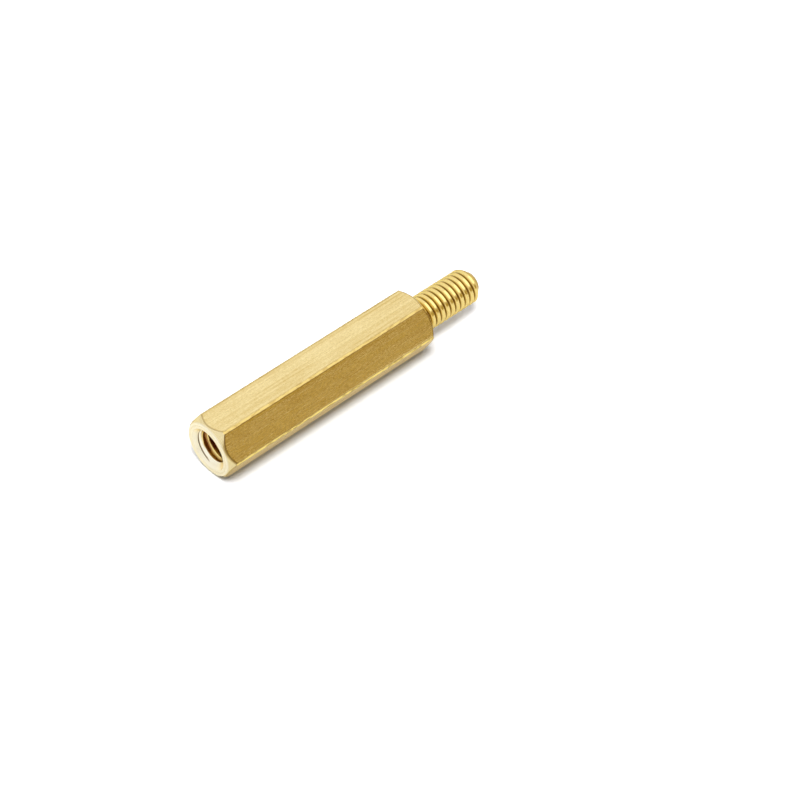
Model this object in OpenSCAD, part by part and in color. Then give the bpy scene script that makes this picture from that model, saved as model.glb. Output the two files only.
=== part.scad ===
// Male-female hexagonal standoff (spacer pillar): a stud at one end, a tapped hole in the other.
// Turned in one piece from drawn hexagonal brass bar. It lies on one of its flats, with its axis along +X,
// and the origin is the centre of the tapped end's face. The solid leaves out the thread's helix: the stud
// is drawn at the thread's major diameter and the hole at its minor diameter.

/* [Hexagonal bar] */
// Width across the flats
across_flats = 4.5; // [4.4:0.05:5.5]
// How far the drawn bar's rounded edges lie inside the sharp corners of the hexagon
edge_round = 0.05; // [0.02:0.01:0.08]
// Length of the hexagonal body, from the tapped end to the shoulder
body_len = 20; // [14:1:60]

/* [Turned ends] */
// Diameter of the flat face inside the tapped end's chamfer
end_face_d = 4.28; // [4:0.02:4.4]
// Length of the tapped end's chamfer along the axis, where it meets the edges
end_chamfer = 0.55; // [0.3:0.05:0.9]
// Diameter of the flat face inside the shoulder's chamfer
shoulder_face_d = 4.28; // [4:0.02:4.4]
// Length of the shoulder's chamfer along the axis, where it meets the edges
shoulder_chamfer = 0.35; // [0.2:0.05:0.9]

/* [Thread] */
// Major diameter of the thread (M3)
thread_d = 3; // [2.9:0.05:3.2]
// Pitch of the thread
thread_pitch = 0.5; // [0.35:0.05:0.6]

/* [Stud] */
// Length of the stud, from the shoulder to its tip
stud_len = 6; // [4:0.5:12]
// Diameter of the flat at the tip
tip_face_d = 1.9; // [1.5:0.1:2.2]
// Length of the cone between the thread and the tip
tip_len = 0.7; // [0.4:0.1:1]

/* [Tapped hole] */
// Depth of the hole at its full diameter
hole_depth = 9; // [6:0.5:11]
// How far the countersink's rim lies outside the thread's major diameter, all round
countersink_margin = 0.2; // [0.1:0.05:0.25]
// Included angle of the countersink
countersink_angle = 90; // [60:5:120]
// Included angle that the drill's point leaves at the bottom
drill_point_angle = 118; // [90:1:140]

/* [Hidden] */
$fn = 96;
// How far a turned shape runs past the face that it joins or cuts
overrun = 1;

edge_r = across_flats / 2 / cos(30) - edge_round;
minor_d = thread_d - thread_pitch;
countersink_d = thread_d + 2 * countersink_margin;
countersink_depth = (countersink_d - minor_d) / 2 / tan(countersink_angle / 2);
drill_point_len = minor_d / 2 / tan(drill_point_angle / 2);

// Bar stock along Z, with a pair of its flats square to X.
module hex_bar() {
    rotate([0, 0, 30])
        cylinder(d = across_flats / cos(30), h = body_len, $fn = 6);
}

// The round envelope that drawing and turning leave: rounded edges along the body, and at each end a
// chamfer that runs down to a flat face. Its cones cut the scalloped arcs into the six flats.
module turned_envelope() {
    rotate_extrude()
        polygon([
            [0, 0],
            [end_face_d / 2, 0],
            [edge_r, end_chamfer],
            [edge_r, body_len - shoulder_chamfer],
            [shoulder_face_d / 2, body_len],
            [0, body_len]
        ]);
}

module body_blank() {
    intersection() {
        hex_bar();
        turned_envelope();
    }
}

// Stud with a coned tip. It starts inside the body, so that the two are one solid.
module stud() {
    translate([0, 0, body_len])
        rotate_extrude()
            polygon([
                [0, -overrun],
                [thread_d / 2, -overrun],
                [thread_d / 2, stud_len - tip_len],
                [tip_face_d / 2, stud_len],
                [0, stud_len]
            ]);
}

// Countersink, tap drill and the drill's point, as one turned cutter.
module hole_cutter() {
    rotate_extrude()
        polygon([
            [0, -overrun],
            [countersink_d / 2, -overrun],
            [countersink_d / 2, 0],
            [minor_d / 2, countersink_depth],
            [minor_d / 2, hole_depth],
            [0, hole_depth + drill_point_len]
        ]);
}

module standoff() {
    color("goldenrod")
        rotate([0, 90, 0])
            difference() {
                union() {
                    body_blank();
                    stud();
                }
                hole_cutter();
            }
}

standoff();
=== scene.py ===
"""Hexagonal standoff with a stud and a tapped hole: its threads, drawn flats and turned faces."""

import math

import bpy
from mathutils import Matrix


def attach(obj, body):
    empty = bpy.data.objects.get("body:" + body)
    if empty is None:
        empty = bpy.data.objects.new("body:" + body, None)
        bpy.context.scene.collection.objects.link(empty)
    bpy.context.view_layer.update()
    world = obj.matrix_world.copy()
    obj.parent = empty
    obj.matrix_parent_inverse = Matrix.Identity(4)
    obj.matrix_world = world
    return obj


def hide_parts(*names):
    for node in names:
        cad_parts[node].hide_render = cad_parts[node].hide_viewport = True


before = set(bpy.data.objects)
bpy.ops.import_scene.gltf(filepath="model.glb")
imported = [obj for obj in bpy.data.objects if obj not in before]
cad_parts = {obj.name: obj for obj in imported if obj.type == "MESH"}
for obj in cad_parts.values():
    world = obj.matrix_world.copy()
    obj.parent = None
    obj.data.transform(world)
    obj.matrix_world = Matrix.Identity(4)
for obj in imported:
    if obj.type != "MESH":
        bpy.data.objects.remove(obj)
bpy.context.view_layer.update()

# Sizes in millimetres, as the solid has them. The axis is X, and the tapped end's face is at X = 0.
MILLIMETRE = 0.001
ACROSS_FLATS = 4.5
CORNER_REACH = 2.548
BODY_LENGTH = 20.0
END_FACE_RADIUS = 2.14
END_CHAMFER = 0.55
SHOULDER_FACE_RADIUS = 2.14
SHOULDER_CHAMFER = 0.35
PITCH = 0.5
STUD_RADIUS = 1.5
STUD_LENGTH = 6.0
TIP_LENGTH = 0.7
HOLE_DEPTH = 9.0
HOLE_MINOR_RADIUS = 1.25
COUNTERSINK_RADIUS = 1.7
DRILL_HALF_ANGLE = math.radians(59)

TIP = BODY_LENGTH + STUD_LENGTH
END_SLOPE = (CORNER_REACH - END_FACE_RADIUS) / END_CHAMFER
SHOULDER_SLOPE = (CORNER_REACH - SHOULDER_FACE_RADIUS) / SHOULDER_CHAMFER
MID_FLAT_TO_CORNER = math.pi / 6

# What the solid leaves to this script: the rounded long edges, the threads and their run-outs.
BAR_EDGE_OFFSET = 0.12
BAR_EDGE_PROFILE = 0.33
BAR_EDGE_SEGMENTS = 6
STUD_CREST_RADIUS = 1.44
STUD_ROOT_RADIUS = 1.22
STUD_CREST_SHARE = 0.34
STUD_FLANK_POWER = 1.6
STUD_THREAD_START = -0.39
RUN_OUT_RADIUS = 1.20
RELIEF_RADIUS = 1.24
RELIEF_LENGTH = 0.16
RELIEF_OVERLAP = 0.05
RELIEF_END_RADIUS = 1.17
RELIEF_END_LENGTH = 0.4
TIP_EDGE_RADIUS = 0.87
TIP_EDGE_BREAK = 0.03
HOLE_MAJOR_RADIUS = 1.51
HOLE_FLANK_POWER = 1.3
HOLE_THREAD_START = -0.69
HOLE_THREAD_DEPTH = 8.5
COUNTERSINK_INNER_RADIUS = 1.0
DRILL_RADIUS = 1.245
DRILL_POINT_RADIUS = 0.005

# How fine the round forms are, and how far a tool reaches past what it cuts.
ROUND_SIDES = 192
THREAD_SIDES = 64
THREAD_STEPS = 40
SHARP_ANGLE = math.radians(30)
OVERRUN = 0.5
STUD_CLEARANCE = 0.2
BAR_CLEARANCE = 0.15


# ---- Making and joining solids ----


def make_active(piece):
    bpy.ops.object.select_all(action="DESELECT")
    piece.select_set(True)
    bpy.context.view_layer.objects.active = piece


def name_piece(name, material):
    """Names the piece just made, gives it its finish and leaves its object unturned at the origin."""
    piece = bpy.context.object
    piece.name = name
    piece.data.name = name
    piece.data.materials.append(material)
    bpy.ops.object.transform_apply(location=True, rotation=True, scale=True)
    return piece


def start_selection(kind):
    """Opens the active piece with nothing of it selected, and leaves it ready for parts to be picked."""
    bpy.ops.object.mode_set(mode="EDIT")
    bpy.ops.mesh.select_mode(type=kind)
    bpy.ops.mesh.select_all(action="DESELECT")
    bpy.ops.object.mode_set(mode="OBJECT")


def select_vertices(piece, wanted):
    """Selects, in edit mode, the vertices whose place makes wanted true, and what lies between them."""
    start_selection("VERT")
    for vertex in piece.data.vertices:
        vertex.select = wanted(vertex.co)
    bpy.ops.object.mode_set(mode="EDIT")


def select_edges(piece, wanted):
    """Selects, in edit mode, the edges whose two ends make wanted true."""
    start_selection("EDGE")
    places = [vertex.co for vertex in piece.data.vertices]
    for edge in piece.data.edges:
        edge.select = wanted(*(places[i] for i in edge.vertices))
    bpy.ops.object.mode_set(mode="EDIT")


def apply_modifier(piece, kind, **settings):
    make_active(piece)
    modifier = piece.modifiers.new("step", kind)
    for name, value in settings.items():
        setattr(modifier, name, value)
    bpy.ops.object.modifier_apply(modifier=modifier.name)


def combine(piece, operation, tool):
    """Adds, cuts or keeps the overlap with another solid, which is used up. Its faces keep their finish."""
    apply_modifier(
        piece,
        "BOOLEAN",
        operation=operation,
        object=tool,
        solver="EXACT",
        material_mode="TRANSFER",
    )
    bpy.data.objects.remove(tool)


def turned_bar(name, material, start, stations):
    """A lathe form along X: a round bar, drawn out from its start to each (x, radius) of the stations."""
    first_x, first_radius = start
    next_x, next_radius = stations[0]
    middle_x = (first_x + next_x) / 2
    bpy.ops.mesh.primitive_cylinder_add(
        vertices=ROUND_SIDES,
        radius=first_radius,
        depth=next_x - first_x,
        location=(middle_x, 0, 0),
        rotation=(0, math.pi / 2, 0),
    )
    piece = name_piece(name, material)
    select_vertices(piece, lambda place: place.x > middle_x)
    ratio = next_radius / first_radius
    bpy.ops.transform.resize(value=(1, ratio, ratio))
    x, radius = next_x, next_radius
    for station_x, station_radius in stations[1:]:
        bpy.ops.mesh.extrude_region_move(TRANSFORM_OT_translate={"value": (station_x - x, 0, 0)})
        ratio = station_radius / radius
        bpy.ops.transform.resize(value=(1, ratio, ratio))
        x, radius = station_x, station_radius
    bpy.ops.object.mode_set(mode="OBJECT")
    return piece


def drawn_bar(material):
    """The hexagonal bar, lying on a flat, with its six long edges rounded as the die leaves them."""
    bpy.ops.mesh.primitive_cylinder_add(
        vertices=6,
        radius=ACROSS_FLATS / 2 / math.cos(MID_FLAT_TO_CORNER),
        depth=BODY_LENGTH + 2 * OVERRUN,
        location=(BODY_LENGTH / 2, 0, 0),
        rotation=(0, math.pi / 2, 0),
    )
    bar = name_piece("standoff_turned", material)
    select_edges(bar, lambda a, b: abs(a.x - b.x) > BODY_LENGTH / 2)
    bpy.ops.mesh.bevel(
        offset=BAR_EDGE_OFFSET,
        segments=BAR_EDGE_SEGMENTS,
        profile=BAR_EDGE_PROFILE,
        affect="EDGES",
    )
    bpy.ops.object.mode_set(mode="OBJECT")
    return bar


def threaded_rod(name, material, start, end, radius_at):
    """A rod with a helical groove: one cross-section, the same all along, swept with a twist along X."""
    bpy.ops.mesh.primitive_circle_add(
        vertices=THREAD_SIDES,
        radius=radius_at(0),
        location=(start, 0, 0),
        rotation=(0, math.pi / 2, 0),
    )
    rod = name_piece(name, material)
    half_sides = THREAD_SIDES // 2

    def sides_from_crest(place):
        return round(abs(math.atan2(place.z, place.y)) / math.pi * half_sides)

    for side in range(1, half_sides + 1):
        select_vertices(rod, lambda place: sides_from_crest(place) == side)
        ratio = radius_at(side / half_sides) / radius_at(0)
        bpy.ops.transform.resize(value=(1, ratio, ratio), center_override=(start, 0, 0))
        bpy.ops.object.mode_set(mode="OBJECT")
    apply_modifier(
        rod,
        "SCREW",
        axis="X",
        angle=math.tau,
        steps=THREAD_STEPS,
        render_steps=THREAD_STEPS,
        screw_offset=PITCH,
        iterations=math.ceil((end - start) / PITCH),
        use_smooth_shade=False,
    )
    bpy.ops.object.mode_set(mode="EDIT")
    bpy.ops.mesh.select_all(action="SELECT")
    bpy.ops.mesh.fill_holes(sides=0)
    bpy.ops.mesh.select_all(action="SELECT")
    bpy.ops.mesh.normals_make_consistent(inside=False)
    bpy.ops.object.mode_set(mode="OBJECT")
    return rod


def stud_radius_at(share):
    """The stud's radius from the middle of a crest, where share is 0, to a root: flat crests, sharp roots."""
    flank = max(0.0, share - STUD_CREST_SHARE) / (1 - STUD_CREST_SHARE)
    return STUD_CREST_RADIUS - (STUD_CREST_RADIUS - STUD_ROOT_RADIUS) * flank**STUD_FLANK_POWER


def hole_radius_at(share):
    """The tapped hole's radius from the middle of a groove, where share is 0, to a rounded crest."""
    return HOLE_MINOR_RADIUS + (HOLE_MAJOR_RADIUS - HOLE_MINOR_RADIUS) * (1 - share) ** HOLE_FLANK_POWER


def stud(thread_finish):
    """The threaded stud, with a relief groove where the thread ends at the shoulder and a coned tip."""
    tip_slope = (STUD_RADIUS - TIP_EDGE_RADIUS) / TIP_LENGTH
    clear_radius = STUD_RADIUS + STUD_CLEARANCE
    relief_end = BODY_LENGTH + RELIEF_LENGTH
    rod = threaded_rod("stud", thread_finish, BODY_LENGTH + STUD_THREAD_START, TIP + OVERRUN, stud_radius_at)
    form = turned_bar(
        "form",
        thread_finish,
        (relief_end, RUN_OUT_RADIUS),
        [
            (relief_end + clear_radius - RELIEF_RADIUS, clear_radius),
            (TIP - TIP_LENGTH - STUD_CLEARANCE / tip_slope, clear_radius),
            (TIP - TIP_EDGE_BREAK, TIP_EDGE_RADIUS + TIP_EDGE_BREAK * tip_slope),
            (TIP, TIP_EDGE_RADIUS - TIP_EDGE_BREAK),
        ],
    )
    combine(rod, "INTERSECT", form)
    relief = turned_bar(
        "relief",
        thread_finish,
        (BODY_LENGTH - OVERRUN, RELIEF_RADIUS),
        [(relief_end + RELIEF_OVERLAP, RELIEF_RADIUS), (relief_end + RELIEF_END_LENGTH, RELIEF_END_RADIUS)],
    )
    combine(rod, "UNION", relief)
    return rod


def hole_cutter(thread_finish, turned_finish):
    """What the drill, the countersink and the tap take out."""
    cutter = threaded_rod("hole", thread_finish, HOLE_THREAD_START, HOLE_THREAD_DEPTH, hole_radius_at)
    drill_point = (DRILL_RADIUS - DRILL_POINT_RADIUS) / math.tan(DRILL_HALF_ANGLE)
    drill = turned_bar(
        "drill",
        turned_finish,
        (HOLE_THREAD_DEPTH - OVERRUN, DRILL_RADIUS),
        [(HOLE_DEPTH, DRILL_RADIUS), (HOLE_DEPTH + drill_point, DRILL_POINT_RADIUS)],
    )
    combine(cutter, "UNION", drill)
    countersink = turned_bar(
        "countersink",
        turned_finish,
        (-OVERRUN, COUNTERSINK_RADIUS + OVERRUN),
        [(COUNTERSINK_RADIUS - COUNTERSINK_INNER_RADIUS, COUNTERSINK_INNER_RADIUS)],
    )
    combine(cutter, "UNION", countersink)
    return cutter


def standoff(drawn_finish, turned_finish, thread_finish):
    """The whole part, which is one turned piece: chamfered bar, tapped hole and stud."""
    piece = drawn_bar(drawn_finish)
    envelope_reach = CORNER_REACH + BAR_CLEARANCE
    envelope = turned_bar(
        "envelope",
        turned_finish,
        (0, END_FACE_RADIUS),
        [
            (END_CHAMFER + BAR_CLEARANCE / END_SLOPE, envelope_reach),
            (BODY_LENGTH - SHOULDER_CHAMFER - BAR_CLEARANCE / SHOULDER_SLOPE, envelope_reach),
            (BODY_LENGTH, SHOULDER_FACE_RADIUS),
        ],
    )
    combine(piece, "INTERSECT", envelope)
    combine(piece, "DIFFERENCE", hole_cutter(thread_finish, turned_finish))
    combine(piece, "UNION", stud(thread_finish))
    make_active(piece)
    bpy.ops.object.shade_smooth_by_angle(angle=SHARP_ANGLE)
    piece.scale = (MILLIMETRE,) * 3
    bpy.ops.object.transform_apply(location=False, rotation=False, scale=True)
    return piece


# ---- Finishes ----


class Signal:
    """A number or colour that a node gives, so that shader maths is written as Python expressions."""

    def __init__(self, shading, socket):
        self.shading = shading
        self.socket = socket

    def __add__(self, other):
        return self.shading.maths("ADD", self, other)

    __radd__ = __add__

    def __sub__(self, other):
        return self.shading.maths("SUBTRACT", self, other)

    def __rsub__(self, other):
        return self.shading.maths("SUBTRACT", other, self)

    def __mul__(self, other):
        return self.shading.maths("MULTIPLY", self, other)

    __rmul__ = __mul__

    def __pow__(self, power):
        return self.shading.maths("POWER", self, power)

    def __abs__(self):
        return self.shading.maths("ABSOLUTE", self)


class Shading:
    """The nodes of one surface finish, or of the world, built one by one."""

    def __init__(self, owner):
        owner.use_nodes = True
        self.owner = owner
        self.tree = owner.node_tree
        self.tree.nodes.clear()

    def add(self, kind, settings=None, inputs=None):
        """Adds a node: its settings first, then what its sockets hold or are joined to."""
        node = self.tree.nodes.new(kind)
        for setting, value in (settings or {}).items():
            setattr(node, setting, value)
        for socket, value in (inputs or {}).items():
            if isinstance(value, Signal):
                self.tree.links.new(value.socket, node.inputs[socket])
            else:
                node.inputs[socket].default_value = value
        return node

    def node(self, kind, settings=None, inputs=None, output=0):
        """Adds a node and gives one of its outputs."""
        return Signal(self, self.add(kind, settings, inputs).outputs[output])

    def maths(self, operation, *values):
        return self.node("ShaderNodeMath", {"operation": operation}, dict(enumerate(values)))

    def place(self):
        """The place on the part, in millimetres."""
        metres = self.node("ShaderNodeTexCoord", output="Object")
        return self.node("ShaderNodeMapping", inputs={"Vector": metres, "Scale": (1 / MILLIMETRE,) * 3})

    def axes(self, place):
        """X along the part's axis, Y across it and Z up, as three numbers."""
        split = self.add("ShaderNodeSeparateXYZ", inputs={"Vector": place})
        return [Signal(self, socket) for socket in split.outputs]

    def noise(self, place, scale=1.0, detail=3.0, roughness=0.6):
        return self.node(
            "ShaderNodeTexNoise",
            inputs={"Vector": place, "Scale": scale, "Detail": detail, "Roughness": roughness},
        )

    def line_noise(self, distance, scale, detail, roughness):
        """Noise that only changes with one distance, such as the rings that a tool leaves."""
        return self.node(
            "ShaderNodeTexNoise",
            {"noise_dimensions": "1D"},
            {"W": distance, "Scale": scale, "Detail": detail, "Roughness": roughness},
        )

    def ramp(self, value, low, high):
        """0 at low and before it, and 1 at high and past it, with a smooth change between."""
        return self.node(
            "ShaderNodeMapRange",
            {"interpolation_type": "SMOOTHSTEP"},
            {"Value": value, "From Min": low, "From Max": high},
        )

    def pattern(self, place, along, across, low, high, detail=3.0, roughness=0.6):
        """Noise from 0 at low to 1 at high. Along and across are how often it repeats in a millimetre."""
        repeats = (along, across, across)
        drawn_out = self.node("ShaderNodeMapping", inputs={"Vector": place, "Scale": repeats})
        return self.ramp(self.noise(drawn_out, detail=detail, roughness=roughness), low, high)

    def blend(self, share, first, second):
        """The first colour where share is 0, and the second where it is 1."""
        # The node has sockets for numbers and vectors too. Its colours are inputs 6 and 7, and output 2.
        return self.node("ShaderNodeMix", {"data_type": "RGBA"}, {0: share, 6: first, 7: second}, output=2)

    def camera_rays(self):
        """1 for what the camera sees straight on, and 0 for the rest."""
        return self.node("ShaderNodeLightPath", output="Is Camera Ray")

    def shine_rays(self):
        """1 for what metal or glass shows the camera, and 0 for the light that they throw on a floor."""
        path = self.add("ShaderNodeLightPath")
        names = ("Is Glossy Ray", "Is Transmission Ray", "Diffuse Depth")
        glossy, through, thrown = (Signal(self, path.outputs[name]) for name in names)
        return (glossy + through) * self.ramp(thrown, 1.0, 0.0)

    def relief(self, height, depth):
        """A surface normal from a height of 0 to 1 that stands for a depth in millimetres."""
        inputs = {"Height": height, "Distance": depth * MILLIMETRE}
        return self.node("ShaderNodeBump", inputs=inputs, output="Normal")

    def metal(self, base, roughness, normal):
        """Bare brass, which ends the finish and gives it."""
        shader = self.node(
            "ShaderNodeBsdfPrincipled",
            inputs={
                "Base Color": base,
                "Metallic": 1.0,
                "Roughness": roughness,
                "Normal": normal,
                "Specular Tint": GRAZING_BRASS,
            },
        )
        self.add("ShaderNodeOutputMaterial", inputs={"Surface": shader})
        return self.owner


def new_finish(name):
    return Shading(bpy.data.materials.new(name))


def distance_out(y, height):
    """How far a place is from the part's axis."""
    return (y * y + height * height) ** 0.5


def slanting_flat_distance(y, height):
    """How far out the four slanting flats would lie, if they passed through this place."""
    return abs(y) * math.cos(MID_FLAT_TO_CORNER) + abs(height) * math.sin(MID_FLAT_TO_CORNER)


def colour(red, green, blue):
    return (red, green, blue, 1.0)


GRAZING_BRASS = colour(1.00, 0.88, 0.60)
PALE_BRASS = colour(0.99, 0.81, 0.39)
DEEP_BRASS = colour(0.71, 0.50, 0.155)
DARKER_BRASS = colour(0.48, 0.31, 0.08)
DARK_LINE_BRASS = colour(0.24, 0.14, 0.03)
TURNED_BRASS = colour(0.92, 0.81, 0.54)
BRIGHT_BRASS = colour(1.00, 0.94, 0.72)
CONE_BRASS = colour(0.82, 0.66, 0.29)
EDGE_BRASS = colour(0.60, 0.45, 0.15)
LOW_EDGE_HIGHLIGHT_BRASS = colour(1.00, 0.80, 0.25)
WORN_AND_SHADED_BRASS = colour(0.46, 0.31, 0.09)
THREAD_BRASS = colour(0.93, 0.72, 0.25)
GROOVE_SHADE_BRASS = colour(0.30, 0.17, 0.035)
AMBER_BRASS = colour(0.30, 0.10, 0.03)

# Where a finish passes into another, in millimetres, from the first value to the second. A reach is how far
# out from the axis it is, and a height is how far over it.
SIDE_HEIGHTS = (2.22, 2.12)
BORDER_REACHES = (2.500, 2.525)
UNDER_CORNER_SHADE_TOP = (-0.04, -0.10)
UNDER_CORNER_SHADE_BOTTOM = (-0.60, -0.35)
CUT_LINE_DEPTHS = (0.14, 0.04)
EDGE_REACHES = (2.539, 2.543)
LOW_EDGE_HIGHLIGHT_HEIGHTS = (1.0, 0.2)
CONE_PLACES = (0.01, 0.12)
CONE_REACHES = (1.8, 2.0)
BESIDE_FLAT_DISTANCES = (2.16, 2.22)
BESIDE_FLAT_HEIGHTS = (2.0, 1.4)
HOLE_TO_STUD_PLACES = (15.0, 16.0)
GROOVE_SHADE_REACHES = (1.40, 1.28)
GROOVE_SHADE_END_PLACES = (TIP - 0.40, TIP - 0.60)
TIP_RIM_SHADE_PLACES = (TIP - 0.55, TIP - 0.15)
TIP_RIM_SHADE_REACHES = (0.78, 0.92)
MOUTH_PLACES = (0.55, 0.42)
MOUTH_RIM_SHADE_REACHES = (1.41, 1.46)
HOLE_GROOVE_REACHES = (1.27, 1.33)
HOLE_DARK_PLACES = (0.8, 1.8)
HOLE_LIT_SIDE = (0.80, 0.55)

DRAWN_RELIEF = 0.005
TURNED_RELIEF = 0.006
THREAD_RELIEF = 0.0015


def drawn_brass():
    """Flats as the die leaves them: fine lines along the bar, a light grain, and worn, nicked long edges, the
    lower ones with a painted highlight.
    """
    finish = new_finish("drawn_brass")
    place = finish.place()
    x, y, height = finish.axes(place)
    reach = distance_out(y, height)
    streaks = finish.pattern(place, along=0.04, across=3.2, low=0.34, high=0.66)
    lines = finish.pattern(place, along=0.08, across=9.0, low=0.55, high=0.66, detail=2.0)
    grain = finish.pattern(place, along=6.0, across=10.0, low=0.32, high=0.68, detail=4.0, roughness=0.7)
    mottle = finish.pattern(place, along=5.5, across=8.0, low=0.36, high=0.64, roughness=0.65)
    patches = finish.pattern(place, along=0.25, across=0.9, low=0.30, high=0.70)
    hairlines = finish.pattern(place, along=0.25, across=28.0, low=0.3, high=0.7, detail=2.0)
    nicks = finish.pattern(place, along=1.7, across=6.0, low=0.45, high=0.62)
    on_side = finish.ramp(height, *SIDE_HEIGHTS)

    tone = streaks * 0.26 + grain * 0.40 + patches * 0.18 + lines * 0.32 + hairlines * 0.14
    tone = tone + (mottle - 0.5) * (0.16 + on_side * 0.40) - 0.06
    base = finish.blend(tone, PALE_BRASS, DEEP_BRASS)

    beside_edge = finish.ramp(reach, *BORDER_REACHES) * (0.20 + nicks * 0.25 + on_side * 0.45)
    base = finish.blend(beside_edge, base, DARKER_BRASS)
    # Painted shade: the lower slanting flats are darker just under the side corners.
    under_corner_shade = finish.ramp(height, *UNDER_CORNER_SHADE_TOP) * finish.ramp(height, *UNDER_CORNER_SHADE_BOTTOM)
    base = finish.blend(under_corner_shade * 0.3, base, DARKER_BRASS)

    # A dark line along the flats where they meet the chamfers, stronger on the side flats.
    from_end_cone = END_FACE_RADIUS + END_SLOPE * x - reach
    from_shoulder_cone = SHOULDER_FACE_RADIUS + SHOULDER_SLOPE * (BODY_LENGTH - x) - reach
    cut_line = finish.ramp(finish.maths("MINIMUM", from_end_cone, from_shoulder_cone), *CUT_LINE_DEPTHS)
    base = finish.blend(cut_line * (0.5 + on_side * 0.25), base, DARK_LINE_BRASS)

    edge = finish.ramp(reach, *EDGE_REACHES)
    # Painted highlight: the long edges from the middle down are paler than those on top.
    edge_colour = finish.blend(finish.ramp(height, *LOW_EDGE_HIGHLIGHT_HEIGHTS), EDGE_BRASS, LOW_EDGE_HIGHLIGHT_BRASS)
    base = finish.blend(edge, base, finish.blend(nicks * 0.85, edge_colour, WORN_AND_SHADED_BRASS))

    roughness = 0.14 + grain * 0.06 + streaks * 0.05 + lines * 0.05 + hairlines * 0.05
    relief = streaks * 0.20 + lines * 0.15 + hairlines * 0.20 + grain * 0.20 + mottle * 0.15
    relief = relief + nicks * edge * 0.3
    return finish.metal(base, roughness, finish.relief(relief, DRAWN_RELIEF))


def turned_brass():
    """Faces and cones cut on the lathe: paler, with fine rings round the axis."""
    finish = new_finish("turned_brass")
    place = finish.place()
    x, y, height = finish.axes(place)
    reach = distance_out(y, height)
    rings = finish.line_noise(reach + x * 0.8, scale=7.0, detail=4.0, roughness=0.7)
    rings = finish.ramp(rings, 0.35, 0.65)
    grain = finish.ramp(finish.noise(place, scale=6.0), 0.3, 0.7)
    base = finish.blend(rings * 0.6 + grain * 0.3, BRIGHT_BRASS, TURNED_BRASS)

    cone = finish.ramp(x, *CONE_PLACES) * finish.ramp(reach, *CONE_REACHES)
    base = finish.blend(cone * 0.8, base, CONE_BRASS)
    # A darker band on the chamfer cones beside the slanting flats, fading out near the top.
    beside_flat = finish.ramp(slanting_flat_distance(y, height), *BESIDE_FLAT_DISTANCES)
    beside_flat = beside_flat * finish.ramp(height, *BESIDE_FLAT_HEIGHTS)
    base = finish.blend(beside_flat * 0.8, base, WORN_AND_SHADED_BRASS)

    roughness = 0.22 + rings * 0.12 + grain * 0.06
    return finish.metal(base, roughness, finish.relief(rings * 0.8 + grain * 0.2, TURNED_RELIEF))


def threaded_brass():
    """Threads: bright on the crests, with painted shade deep in the stud's grooves, and amber where the hole
    grows dark.
    """
    finish = new_finish("threaded_brass")
    place = finish.place()
    x, y, height = finish.axes(place)
    reach = distance_out(y, height)
    grain = finish.ramp(finish.noise(place, scale=8.0), 0.3, 0.7)
    marks = finish.pattern(place, along=14.0, across=1.0, low=0.35, high=0.65)
    on_stud = finish.ramp(x, *HOLE_TO_STUD_PLACES)

    # Painted shade: the roots of the stud's thread are darker.
    groove = finish.ramp(reach, *GROOVE_SHADE_REACHES) * on_stud * finish.ramp(x, *GROOVE_SHADE_END_PLACES)
    base = finish.blend(groove * 0.76 + grain * 0.10, THREAD_BRASS, GROOVE_SHADE_BRASS)
    # Painted dark reflection: a darker, rougher rim round the end of the tip cone.
    tip_rim_shade = finish.ramp(x, *TIP_RIM_SHADE_PLACES) * finish.ramp(reach, *TIP_RIM_SHADE_REACHES)
    base = finish.blend(tip_rim_shade * 0.85, base, WORN_AND_SHADED_BRASS)

    mouth = finish.ramp(x, *MOUTH_PLACES)
    # Painted highlight: the thread at the hole's mouth takes the turned face's pale colour.
    base = finish.blend(mouth, base, BRIGHT_BRASS)
    # Painted shade: a dark line where the thread starts at the countersink.
    base = finish.blend(mouth * finish.ramp(reach, *MOUTH_RIM_SHADE_REACHES) * 0.9, base, DARK_LINE_BRASS)

    shaded = finish.ramp(reach, *HOLE_GROOVE_REACHES) * (1 - mouth) * 0.8
    shaded = shaded + finish.ramp(x, *HOLE_DARK_PLACES) * 0.4
    shaded = shaded * (1 - finish.ramp(y, *HOLE_LIT_SIDE) * 0.45)
    base = finish.blend(shaded * (1 - on_stud), base, AMBER_BRASS)

    roughness = 0.18 + groove * 0.12 + marks * 0.08 + tip_rim_shade * 0.40
    return finish.metal(base, roughness, finish.relief(marks * 0.7 + grain * 0.3, THREAD_RELIEF))


# ---- Floor, light and camera, in metres ----

FLOOR_HEIGHT = -ACROSS_FLATS / 2 * MILLIMETRE
FLOOR_SIZE = 4.0
PAPER = (colour(0.60, 0.61, 0.63), colour(0.64, 0.65, 0.67))
PAPER_MIRRORED = (colour(0.52, 0.53, 0.55), colour(0.54, 0.55, 0.57))
PAPER_SHOWN = (colour(1.12, 1.13, 1.16), colour(1.14, 1.15, 1.18))
PAPER_GLOW = colour(0.41, 0.41, 0.42)
BLACK = colour(0, 0, 0)
WHITE = colour(1, 1, 1)

TENT_LOW = colour(0.94, 0.95, 1.02)
TENT_TOP = colour(1.02, 1.05, 1.18)
ROOM_COLOUR = colour(0.44, 0.318, 0.080)
ROOM_DIRECTION = (0.46, -0.89, 0.0)
PLAIN_LIGHT = colour(0.30, 0.30, 0.31)

FRONT_LAMP_PLACE = (0.275, -0.222, 0.460)
FRONT_LAMP_SIZE = 0.54
FRONT_LAMP_ENERGY = 0.48
KEY_LAMP_PLACE = (-0.12, -0.165, 0.55)
KEY_LAMP_ANGLE = math.radians(22)
KEY_LAMP_ENERGY = 2.35
BACK_LAMP_PLACE = (0.50, 0.60, 0.32)
BACK_LAMP_ANGLE = math.radians(40)
BACK_LAMP_ENERGY = 1.6

CAMERA_PLACE = (-0.06242, -0.08659, 0.11026)
CAMERA_PITCH = math.radians(45.156)
CAMERA_TURN = math.radians(-43.094)
CAMERA_LENS = 97.36
CAMERA_NEAR = 0.001
CAMERA_FAR = 20.0


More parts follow.
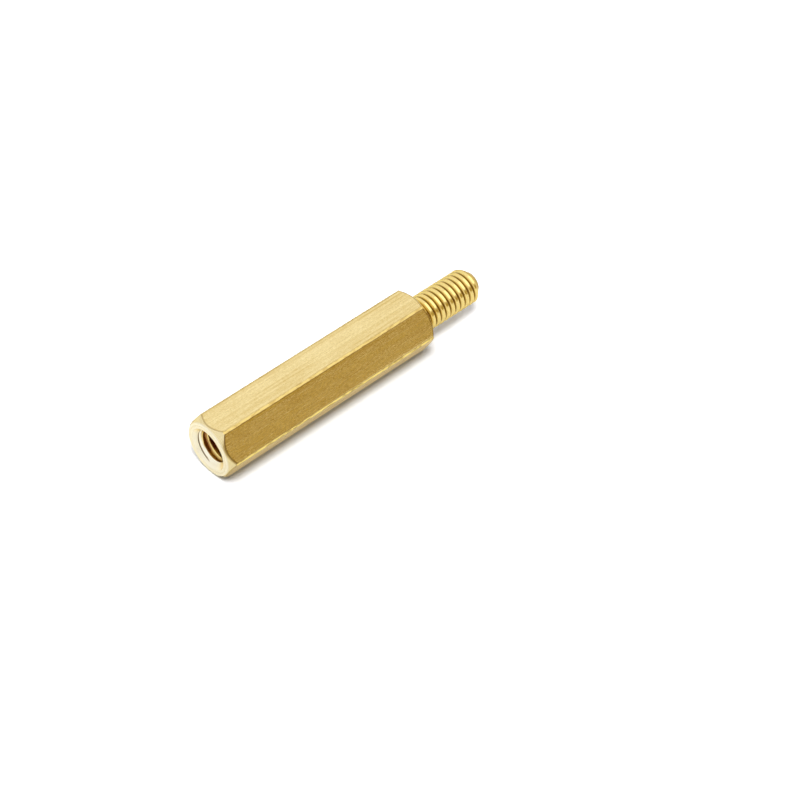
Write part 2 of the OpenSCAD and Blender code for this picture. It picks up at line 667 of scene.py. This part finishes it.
def pale_floor():
    """Plain pale paper, which the camera and the shine of the metal see as white."""
    bpy.ops.mesh.primitive_plane_add(size=FLOOR_SIZE, location=(0, 0, FLOOR_HEIGHT))
    finish = new_finish("pale_floor")
    paper = finish.noise(finish.place(), scale=0.05, detail=2.0)
    plain = finish.blend(paper, *PAPER)
    mirrored = finish.blend(paper, *PAPER_MIRRORED)
    shown = finish.blend(paper, *PAPER_SHOWN)
    shine = finish.shine_rays()
    shade = finish.blend(finish.camera_rays(), finish.blend(shine, plain, mirrored), shown)
    shader = finish.node(
        "ShaderNodeBsdfPrincipled",
        inputs={
            "Base Color": shade,
            "Roughness": 0.9,
            "Specular IOR Level": 0.0,
            "Emission Color": finish.blend(shine, BLACK, PAPER_GLOW),
            "Emission Strength": 1.0,
        },
    )
    finish.add("ShaderNodeOutputMaterial", inputs={"Surface": shader})
    return name_piece("pale_floor", finish.owner)


def studio_world():
    """The camera sees white. The shine shows a white tent, with a dim warm room low down on the right."""
    world = bpy.data.worlds.new("studio")
    bpy.context.scene.world = world
    sky = Shading(world)
    direction = sky.node("ShaderNodeTexCoord", output="Generated")
    height = sky.node("ShaderNodeSeparateXYZ", inputs={"Vector": direction}, output="Z")
    towards_room = sky.node(
        "ShaderNodeVectorMath",
        {"operation": "DOT_PRODUCT"},
        {0: direction, 1: ROOM_DIRECTION},
        output="Value",
    )
    tent = sky.blend(sky.ramp(height, 0.0, 1.0), TENT_LOW, TENT_TOP)
    room = (1 - sky.ramp(height, 0.30, 0.56)) * sky.ramp(towards_room, -0.1, 0.6)
    light = sky.blend(sky.shine_rays(), PLAIN_LIGHT, sky.blend(room, tent, ROOM_COLOUR))
    light = sky.blend(sky.camera_rays(), light, WHITE)
    background = sky.node("ShaderNodeBackground", inputs={"Color": light, "Strength": 1.0})
    sky.add("ShaderNodeOutputWorld", inputs={"Surface": background})


def aimed_lamp(name, kind, place, energy):
    """A lamp that points at the origin, which is at the part's tapped end."""
    bpy.ops.object.light_add(type=kind, location=place)
    lamp = bpy.context.object
    lamp.name = name
    lamp.rotation_euler = lamp.location.to_track_quat("Z", "Y").to_euler()
    lamp.data.energy = energy
    return lamp


def front_lamp():
    """The broad lamp high up on the right, which only the shine of the metal shows."""
    lamp = aimed_lamp("front_lamp", "AREA", FRONT_LAMP_PLACE, FRONT_LAMP_ENERGY)
    lamp.data.shape = "DISK"
    lamp.data.size = FRONT_LAMP_SIZE
    lamp.visible_diffuse = False


def key_lamp():
    """The steep light from the front, which puts a narrow shadow under the bar."""
    lamp = aimed_lamp("key_lamp", "SUN", KEY_LAMP_PLACE, KEY_LAMP_ENERGY)
    lamp.data.angle = KEY_LAMP_ANGLE
    lamp.visible_glossy = False


def back_lamp():
    """A low light from behind, which lifts the shadow under the stud."""
    lamp = aimed_lamp("back_lamp", "SUN", BACK_LAMP_PLACE, BACK_LAMP_ENERGY)
    lamp.data.angle = BACK_LAMP_ANGLE
    lamp.visible_glossy = False


def camera():
    bpy.ops.object.camera_add(location=CAMERA_PLACE, rotation=(CAMERA_PITCH, 0, CAMERA_TURN))
    view = bpy.context.object
    view.name = "camera"
    view.data.lens = CAMERA_LENS
    view.data.clip_start = CAMERA_NEAR
    view.data.clip_end = CAMERA_FAR
    bpy.context.scene.camera = view


piece = standoff(drawn_brass(), turned_brass(), threaded_brass())
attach(piece, "root")
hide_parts("standoff")

pale_floor()
studio_world()
front_lamp()
key_lamp()
back_lamp()
camera()
bpy.context.scene.view_settings.view_transform = "Standard"
